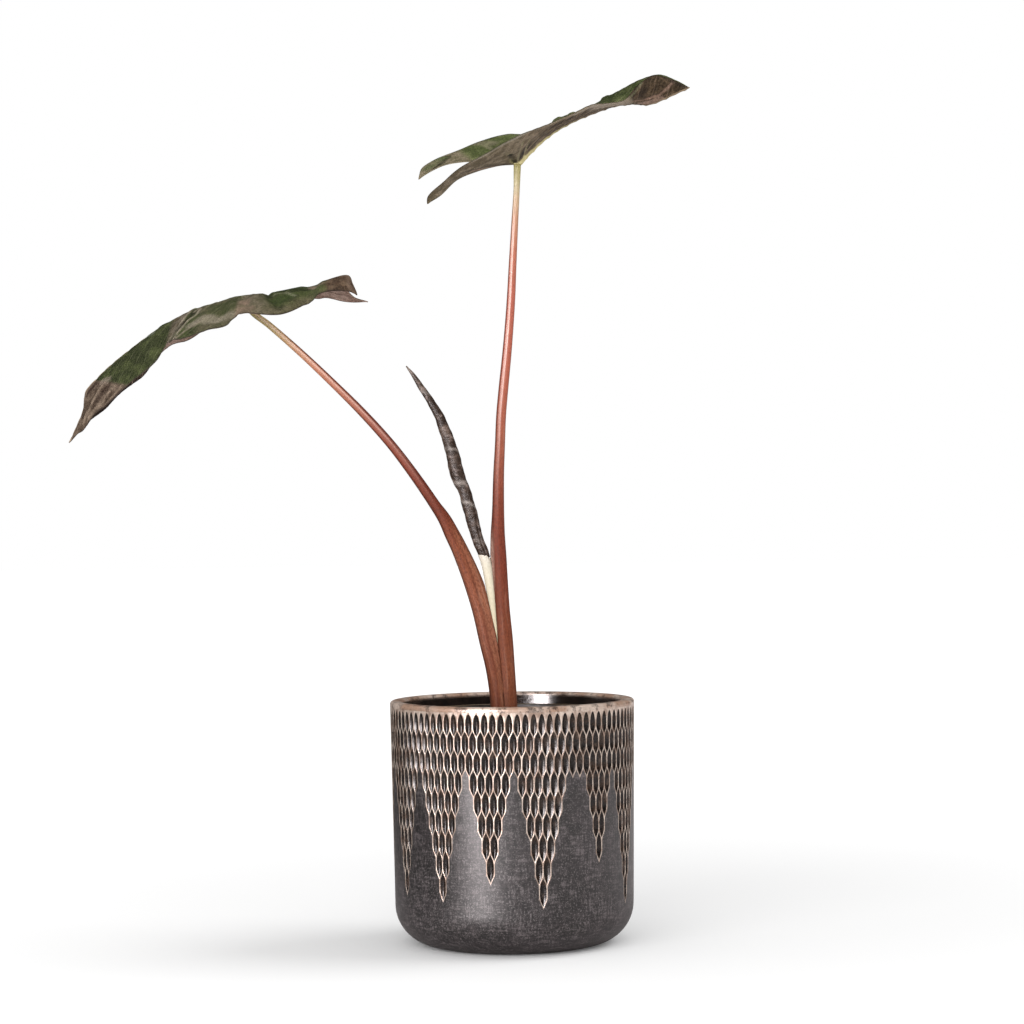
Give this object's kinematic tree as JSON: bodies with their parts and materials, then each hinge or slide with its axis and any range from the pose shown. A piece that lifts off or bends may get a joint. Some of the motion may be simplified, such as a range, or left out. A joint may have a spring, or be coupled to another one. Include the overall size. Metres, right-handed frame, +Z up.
{
  "type": "potted alocasia plant",
  "caption": "Young alocasia with two arrow-shaped leaves and a rolled new leaf, in a growing pot inside a carved, glazed stoneware cover pot.",
  "frame": {"origin": "centre of the cover pot's flat base", "axes": "+Z up, +X to the right as seen in the picture, -Y towards the picture's viewer; the leaning leaf points to -X"},
  "size_m": [0.3835, 0.15, 0.5367],
  "materials": {
    "pot_glaze": "satin",
    "nursery_plastic": "satin",
    "potting_mix": "matte",
    "corm_skin": "matte",
    "stalk_red": "satin",
    "stalk_cream": "satin",
    "leaf_open": "satin",
    "leaf_rolled": "satin"
  },
  "bodies": {
    "root": {"pot": "pot_glaze", "nursery_pot": "nursery_plastic", "soil": "potting_mix", "corm": "corm_skin", "petiole_left": "stalk_red", "petiole_right": "stalk_red", "petiole_new": "stalk_cream", "blade_left": "leaf_open", "blade_right": "leaf_open", "blade_new": "leaf_rolled"}
  },
  "joints": []
}
